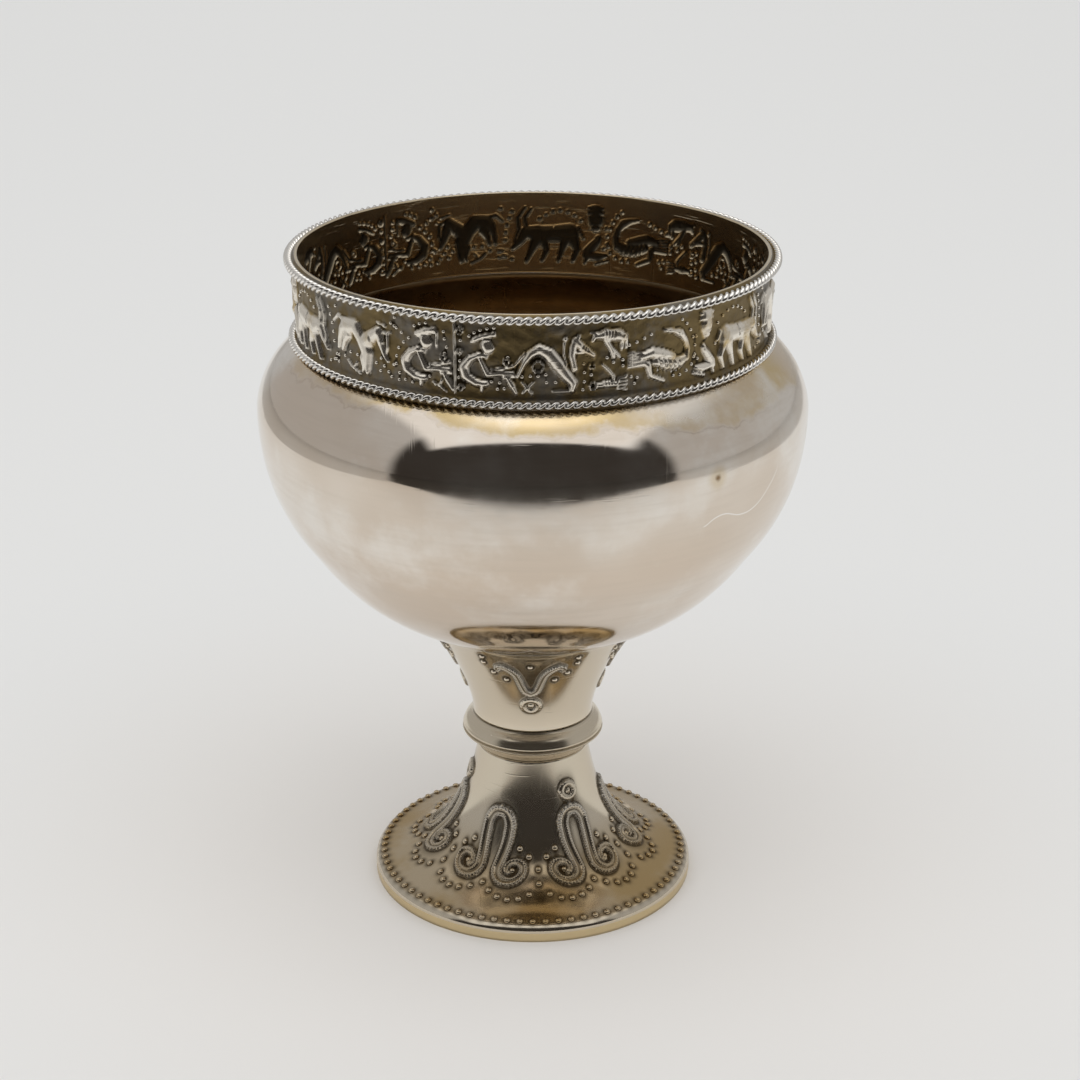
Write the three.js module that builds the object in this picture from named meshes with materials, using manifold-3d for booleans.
// Silver-gilt cup: a shouldered bowl with a chased band of animals, on a flared collar, a knop and a foot.
// Millimetres, +Z up, origin at the centre of the foot's underside, front of the cup towards -Y.
import * as THREE from 'three';
import { ConvexGeometry } from 'three/addons/geometries/ConvexGeometry.js';
import { mergeVertices } from 'three/addons/utils/BufferGeometryUtils.js';
import Module from 'manifold-3d';

const wasm = await Module();
wasm.setup();

// Heights, from the table up
const footHeight = 32;
const knopHeight = 7.6;
const collarHeight = 24.5;
const bowlHeight = 66.9;
const bandHeight = 19;

// Radii
const footRadius = 36.5;
const footNeckRadius = 12.5;
const knopRadius = 16;
const knopTopRadius = 13.6;
const collarRadius = 26.2;
const bellyRadius = 59.4;
const mouthRadius = 50.4;
const bandFlare = 0.5;

// Walls and joints
const footWall = 0.9;
const collarWall = 0.9;
const bowlWall = 0.9;
const bandWall = 0.7;
const knopWall = 2.6;
const seam = 0.3;

// Foot ring, the strip that the plate is soldered to
const footRingHeight = 2.2;
const footRingWidth = 2;
const plateRadius = 34.6;
const plateHeight = 4.1;

// Ornament
const ropeWire = 1.9;
const ropeCrests = 88;
const reliefHeight = 0.7;
const reliefRoot = 0.3;
const frameMargin = 0.6;
const friezeRepeats = 3;
const footScrolls = 6;
const footTurn = 3.3;
const scrollBand = 2.5;
const beadRow = 1.5;
const collarScrolls = 4;
const hornBand = 2;

const roundSteps = 36;
const stemSteps = 32;
const degrees = Math.PI / 180;

// Levels that follow from the heights
const knopBottom = footHeight + seam;
const collarBottom = knopBottom + knopHeight + seam;
const collarTop = collarBottom + collarHeight;

const point = (r, z) => new THREE.Vector2(r, z);

// A curve as a list of profile points, evenly spaced along it
function along(curve, steps) {
  return curve.getSpacedPoints(steps);
}

// The same profile moved sideways by a distance, to the left of its direction
function beside(points, distance) {
  return points.map((p, i) => {
    const before = points[Math.max(i - 1, 0)];
    const after = points[Math.min(i + 1, points.length - 1)];
    const way = after.clone().sub(before).normalize();
    return point(Math.max(p.x - way.y * distance, 0), p.y + way.x * distance);
  });
}

// A closed outline or one that starts and ends on the axis, turned about +Z with its faces outwards
function turned(points, steps = roundSteps) {
  const upward = THREE.ShapeUtils.area(points) < 0 ? [...points].reverse() : points;
  const geometry = new THREE.LatheGeometry(upward, steps);
  geometry.rotateX(Math.PI / 2);
  return geometry;
}

// Geometry as a solid that can be joined and cut
function solid(geometry) {
  geometry.deleteAttribute('uv');
  geometry.deleteAttribute('normal');
  const merged = mergeVertices(geometry, 1e-4);
  const vertProperties = new Float32Array(merged.attributes.position.array);
  const triVerts = new Uint32Array(merged.index.array);
  return new wasm.Manifold(new wasm.Mesh({ numProp: 3, vertProperties, triVerts }));
}

function geometryOf(manifold) {
  const mesh = manifold.getMesh();
  const geometry = new THREE.BufferGeometry();
  geometry.setAttribute('position', new THREE.BufferAttribute(mesh.vertProperties, 3));
  geometry.setIndex(new THREE.BufferAttribute(mesh.triVerts, 1));
  return geometry;
}

function joined(base, parts) {
  return parts.reduce((whole, part) => whole.add(solid(part)), base);
}

// A place on a turned surface: angle in degrees from the front, point of the profile, height above it
function onTurned(angle, spot, outward, rise) {
  const r = spot.x + outward.x * rise;
  const z = spot.y + outward.y * rise;
  return new THREE.Vector3(r * Math.sin(angle * degrees), -r * Math.cos(angle * degrees), z);
}

// A stroke of relief: nodes [x, y, half width] joined by ridged wedges, laid on a surface by place(x, y, rise)
function stroke(nodes, place, height = reliefHeight) {
  const wedges = [];
  for (let i = 0; i + 1 < nodes.length; i += 1) {
    const [x0, y0, w0] = nodes[i];
    const [x1, y1, w1] = nodes[i + 1];
    const length = Math.hypot(x1 - x0, y1 - y0);
    const ax = (x1 - x0) / length;
    const ay = (y1 - y0) / length;
    const corners = [];
    for (const [x, y, w] of [[x0, y0, w0], [x1, y1, w1]]) {
      corners.push(place(x - ay * w, y + ax * w, -reliefRoot));
      corners.push(place(x + ay * w, y - ax * w, -reliefRoot));
      corners.push(place(x, y, height));
    }
    wedges.push(new ConvexGeometry(corners));
  }
  return wedges;
}

// A low round bead as a small pyramid with four sides
function bead(x, y, radius, place) {
  const corners = [place(x, y, radius * 0.75)];
  for (let k = 0; k < 4; k += 1) {
    const turn = k * 90 * degrees;
    corners.push(place(x + radius * Math.cos(turn), y + radius * Math.sin(turn), -reliefRoot));
  }
  return new ConvexGeometry(corners);
}

// Wire twisted from two strands, closed to a ring: a three-sided section that turns a sixth at each step
function rope(radius, level) {
  const steps = ropeCrests * 2;
  const corner = ropeWire / 2 / Math.cos(15 * degrees);
  const geometry = new THREE.TorusGeometry(radius, corner, 3, steps);
  const position = geometry.attributes.position;
  for (let side = 0; side <= 3; side += 1) {
    for (let step = 0; step <= steps; step += 1) {
      const turn = step / steps * 2 * Math.PI;
      const twist = (15 + side * 120 - step * 60) * degrees;
      const r = radius + corner * Math.cos(twist);
      const z = level + corner * Math.sin(twist);
      position.setXYZ(side * (steps + 1) + step, r * Math.cos(turn), r * Math.sin(turn), z);
    }
  }
  return geometry;
}

// Bowl: flat bottom, spreading flank and a round shoulder that turns in to the mouth
const flankRadius = bellyRadius * 0.828;
const flankHeight = bowlHeight * 0.338;
const bellyHeight = bowlHeight * 0.786;
const bowlCurves = [
  new THREE.CubicBezierCurve(
    point(0, 0),
    point(bellyRadius * 0.292, 0),
    point(bellyRadius * 0.601, flankHeight - bowlHeight * 0.3),
    point(flankRadius, flankHeight),
  ),
  new THREE.CubicBezierCurve(
    point(flankRadius, flankHeight),
    point(flankRadius + bellyRadius * 0.029, flankHeight + bowlHeight * 0.038),
    point(bellyRadius, bellyHeight - bowlHeight * 0.276),
    point(bellyRadius, bellyHeight),
  ),
  new THREE.CubicBezierCurve(
    point(bellyRadius, bellyHeight),
    point(bellyRadius, bellyHeight + bowlHeight * 0.041),
    point(mouthRadius + 7.3, bowlHeight - 4.5),
    point(mouthRadius, bowlHeight),
  ),
];

// Height of the bowl's underside above its lowest point, at a radius
function undersideRise(radius) {
  let low = 0;
  let high = 1;
  for (let i = 0; i < 30; i += 1) {
    const middle = (low + high) / 2;
    if (bowlCurves[0].getPoint(middle).x < radius) low = middle;
    else high = middle;
  }
  return bowlCurves[0].getPoint(low).y;
}

// The bowl rests on the collar's top edge, and the band on the bowl's mouth
const bowlBottom = collarTop + seam - undersideRise(collarRadius);
const bowlMouth = bowlBottom + bowlHeight;
const bandBottom = bowlMouth + seam;
const bandTop = bandBottom + bandHeight;

function makeBowl() {
  const steps = [5, 3, 4];
  const parts = bowlCurves.map((curve, i) => along(curve, steps[i]));
  const outer = [...parts[0], ...parts[1].slice(1), ...parts[2].slice(1)];
  const inner = beside(outer, bowlWall);
  inner[0].x = 0;
  inner.at(-1).set(mouthRadius - bowlWall, bowlHeight);
  return turned([...outer, ...inner.reverse()]).translate(0, 0, bowlBottom);
}

// Frieze band: straight sheet that leans out a little, with a raised strip behind each rope
const bandRadius = mouthRadius - 0.6;
const ropeRoom = ropeWire + frameMargin;
const fieldBottom = bandBottom + ropeRoom - 0.2;
const fieldHeight = bandHeight - 2 * ropeRoom + 0.4;

function bandSkin(z) {
  return bandRadius + bandFlare * (z - bandBottom) / bandHeight;
}

function makeBand() {
  const outline = [
    point(bandSkin(bandBottom), bandBottom),
    point(bandSkin(bandTop), bandTop),
    point(bandSkin(bandTop) - bandWall, bandTop),
    point(bandSkin(bandBottom) - bandWall, bandBottom),
    point(bandSkin(bandBottom), bandBottom),
  ];
  const figures = [];
  for (let turn = 0; turn < friezeRepeats; turn += 1) {
    for (const [angle, motif] of friezeMotifs) {
      const centre = angle + turn * 360 / friezeRepeats;
      const place = (x, y, rise) => {
        const z = fieldBottom + y;
        const r = bandSkin(z);
        return onTurned(centre + x / bandRadius / degrees, point(r, z), point(1, 0), rise);
      };
      for (const nodes of motif()) {
        const scaled = nodes.map((node) => node.map((share) => share * fieldHeight));
        figures.push(...stroke(scaled, place));
      }
    }
  }
  return geometryOf(joined(solid(turned(outline)), figures));
}

// Four-legged animal that walks to the right: strokes in shares of the field's height
function beast({ length, back, deep, neck, head, horn }) {
  const rump = -length / 2;
  const chest = length / 2;
  const throat = [chest + neck[0], back + neck[1]];
  const muzzle = [throat[0] + head[0], throat[1] + head[1]];
  const hoof = 0.03;
  return [
    [[rump, back, deep * 0.95], [chest, back, deep * 1.05]],
    [[chest, back, deep * 0.8], [...throat, deep * 0.5]],
    [[...throat, deep * 0.55], [...muzzle, deep * 0.25]],
    [[rump, back - deep * 0.5, deep * 0.5], [rump - 0.06, hoof, 0.035]],
    [[rump + 0.14, back - deep * 0.5, deep * 0.4], [rump + 0.18, hoof, 0.035]],
    [[chest - 0.04, back - deep * 0.5, deep * 0.5], [chest + 0.1, hoof, 0.035]],
    [[...throat, 0.035], [throat[0] + horn[0], throat[1] + horn[1], 0.02]],
  ];
}

const ibex = () => beast({
  length: 0.56, back: 0.44, deep: 0.15, neck: [0.18, 0.02], head: [0.14, -0.18], horn: [-0.08, 0.42],
});

const bull = () => beast({
  length: 0.5, back: 0.62, deep: 0.15, neck: [0.16, 0.04], head: [0.16, -0.26], horn: [0.1, 0.14],
});

// Small animal that hangs above a curl and a fish
const kid = () => [
  [[-0.2, 0.86, 0.08], [0.12, 0.86, 0.1]],
  [[0.12, 0.86, 0.09], [0.2, 0.66, 0.04]],
  [[0.02, 0.48, 0.03], [0.1, 0.26, 0.03]],
  [[-0.2, 0.14, 0.1], [0.24, 0.18, 0.02]],
];

// Kneeling figure in profile with a cap, a bent back and both arms held out with a small bowl
const kneeler = () => [
  [[-0.02, 0.64, 0.07], [-0.22, 0.36, 0.07], [-0.14, 0.1, 0.09]],
  [[-0.04, 0.6, 0.05], [0.3, 0.36, 0.03]],
  [[-0.1, 0.14, 0.07], [0.26, 0.12, 0.05]],
  [[0.05, 0.7, 0.09], [0.07, 0.86, 0.08]],
  [[-0.1, 0.92, 0.05], [0.2, 0.93, 0.04]],
];

// Camel at rest, with one high hump and the head turned up
const camel = () => [
  [[-0.5, 0.42, 0.06], [-0.26, 0.76, 0.07], [0.04, 0.64, 0.08], [0.28, 0.12, 0.06]],
  [[-0.34, 0.52, 0.05], [0.04, 0.5, 0.06]],
  [[0.3, 0.2, 0.06], [0.34, 0.76, 0.07]],
  [[0.34, 0.8, 0.08], [0.56, 0.56, 0.05]],
];

// Goose with its tail to the left, a full body and a neck that curls back over it
const goose = () => [
  [[-0.5, 0.44, 0.1], [-0.1, 0.38, 0.14], [0.4, 0.32, 0.13]],
  [[0.4, 0.34, 0.08], [0.42, 0.74, 0.06], [0, 0.84, 0.03]],
  [[-0.14, 0.3, 0.05], [0.04, 0.08, 0.03]],
];

// Broad mask above a small crawling figure
const mask = () => [
  [[0, 0.94, 0.15], [0, 0.6, 0.14]],
  [[-0.18, 0.14, 0.07], [0, 0.34, 0.11], [0.2, 0.14, 0.07]],
];

// Upright line that closes the row before the second kneeling figure
const divider = () => [[[0, 0.02, 0.025], [0, 0.96, 0.025]]];

const friezeMotifs = [
  [-60.8, ibex],
  [-42.6, bull],
  [-24.8, kneeler],
  [-17.4, divider],
  [-10.4, kneeler],
  [3.2, camel],
  [17.2, kid],
  [30.2, goose],
  [42.6, mask],
];

// Ornament on a turned wall: x is measured round the wall in degrees, y along its profile in millimetres
function wallPlace(curve, centre) {
  const length = curve.getLength();
  return (x, y, rise) => {
    const share = Math.min(Math.max(y / length, 0), 1);
    const spot = curve.getPointAt(share);
    const way = curve.getTangentAt(share);
    const outward = point(Math.abs(way.y), Math.abs(way.x));
    return onTurned(centre + x / spot.x / degrees, spot, outward, rise);
  };
}

// Spiral end of a scroll, from its outer turn to the middle
function volute(x, y, radius, from, sweep, steps) {
  const nodes = [];
  for (let k = 0; k <= steps; k += 1) {
    const share = k / steps;
    const turn = (from + sweep * share) * degrees;
    const r = radius * (1 - 0.55 * share);
    nodes.push([x + r * Math.cos(turn), y + r * Math.sin(turn)]);
  }
  return nodes;
}

// Foot: neck, hollow curve, plate with the row of beads as a low ridge, and ring
const footCurve = new THREE.CubicBezierCurve(
  point(footNeckRadius, footHeight),
  point(footNeckRadius + 2.74, footHeight - 14.8),
  point(plateRadius - 15.5, plateHeight + 1.73),
  point(plateRadius, plateHeight),
);

function footOrnament() {
  const length = footCurve.getLength();
  const parts = [];
  const archTop = length * 0.31;
  const voluteRow = length * 0.62;
  for (let k = 0; k < footScrolls; k += 1) {
    const place = wallPlace(footCurve, footTurn + (k + 0.5) * 360 / footScrolls);
    for (const side of [-1, 1]) {
      const curl = volute(5.4, voluteRow, 2.2, 150, -270, 3);
      const nodes = [[0, archTop], [2.2, archTop + 3], ...curl];
      parts.push(...stroke(nodes.map(([x, y]) => [side * x, y, scrollBand / 2]), place));
    }
    if (k % 2 === 0) parts.push(bead(0, archTop - scrollBand * 1.6, scrollBand * 0.75, place));
  }
  return parts;
}

function makeFoot() {
  const skin = along(footCurve, 6);
  const outer = [
    ...skin.slice(0, -1),
    point(plateRadius - beadRow / 2, plateHeight),
    point(plateRadius, plateHeight + beadRow / 3),
    point(plateRadius + beadRow / 2, plateHeight - 0.1),
    point(footRadius, plateHeight - 1.3),
    point(footRadius, 0),
  ];
  const under = beside(skin, -footWall);
  under[0].set(footNeckRadius - footWall, footHeight);
  const inner = [
    point(footRadius - footRingWidth, 0),
    point(footRadius - footRingWidth, footRingHeight),
    ...under.reverse(),
  ];
  const base = solid(turned([...outer, ...inner, outer[0].clone()], stemSteps));
  return geometryOf(joined(base, footOrnament()));
}

// Knop: a ring with a crisp fillet at its widest, hollow through the middle
function makeKnop() {
  const edge = knopBottom + knopHeight * 0.46;
  const outer = [
    point(footNeckRadius, knopBottom),
    point(knopRadius - 1.2, edge - knopHeight * 0.14),
    point(knopRadius, edge),
    point(knopRadius - 0.4, edge + knopHeight * 0.16),
    point(knopTopRadius + 1, knopBottom + knopHeight * 0.84),
    point(knopTopRadius, knopBottom + knopHeight),
  ];
  const bore = [
    point(footNeckRadius - knopWall, knopBottom + knopHeight),
    point(footNeckRadius - knopWall, knopBottom),
  ];
  return turned([...outer, ...bore, outer[0].clone()], stemSteps);
}

// Collar: flares from the knop to the bowl's underside
const collarCurve = new THREE.CubicBezierCurve(
  point(knopTopRadius, collarBottom),
  point(knopTopRadius - 0.6, collarBottom + collarHeight * 0.2),
  point(collarRadius - 4.6, collarTop - collarHeight * 0.04),
  point(collarRadius, collarTop),
);

function collarOrnament() {
  const length = collarCurve.getLength();
  const parts = [];
  for (let k = 0; k < collarScrolls; k += 1) {
    const place = wallPlace(collarCurve, k * 360 / collarScrolls);
    for (const side of [-1, 1]) {
      const nodes = [[0, 0.36], [2.6, 0.52], [5.4, 0.75], [8.4, 0.74], [7, 0.66]];
      const widths = nodes.map(([x, y]) => [side * x, y * length, hornBand / 2]);
      parts.push(...stroke(widths, place));
    }
    parts.push(bead(0, length * 0.27, hornBand * 0.9, place));
  }
  return parts;
}

function makeCollar() {
  const outer = along(collarCurve, 5);
  const inner = beside(outer, collarWall);
  inner[0].set(knopTopRadius - collarWall, collarBottom);
  const lip = collarRadius - collarWall;
  inner.at(-1).set(lip, bowlBottom + undersideRise(lip) - seam);
  const base = solid(turned([...outer, ...inner.reverse(), outer[0].clone()], stemSteps));
  return geometryOf(joined(base, collarOrnament()));
}

// Finishes
const silver = new THREE.MeshStandardMaterial({ color: 0xc9c2b6, roughness: 0.22, metalness: 1 });
const darkSilver = new THREE.MeshStandardMaterial({ color: 0x8e877b, roughness: 0.4, metalness: 1 });
const gilt = new THREE.MeshStandardMaterial({ color: 0xc4b183, roughness: 0.25, metalness: 1 });

const cup = new THREE.Group();

function addPiece(name, geometry, material) {
  geometry.computeVertexNormals();
  const mesh = new THREE.Mesh(geometry, material);
  mesh.name = name;
  cup.add(mesh);
}

const ropeSeat = (z) => bandSkin(z) + seam + ropeWire / 2;
const rimLevel = bandTop - ropeWire / 2;
const lowerLevel = bandBottom + ropeWire / 2;

addPiece('foot', makeFoot(), gilt);
addPiece('knop', makeKnop(), gilt);
addPiece('stem_collar', makeCollar(), gilt);
addPiece('bowl', makeBowl(), silver);
addPiece('frieze_band', makeBand(), darkSilver);
addPiece('lower_rope', rope(ropeSeat(lowerLevel), lowerLevel), silver);
addPiece('rim_rope', rope(ropeSeat(rimLevel), rimLevel), silver);

export default cup;
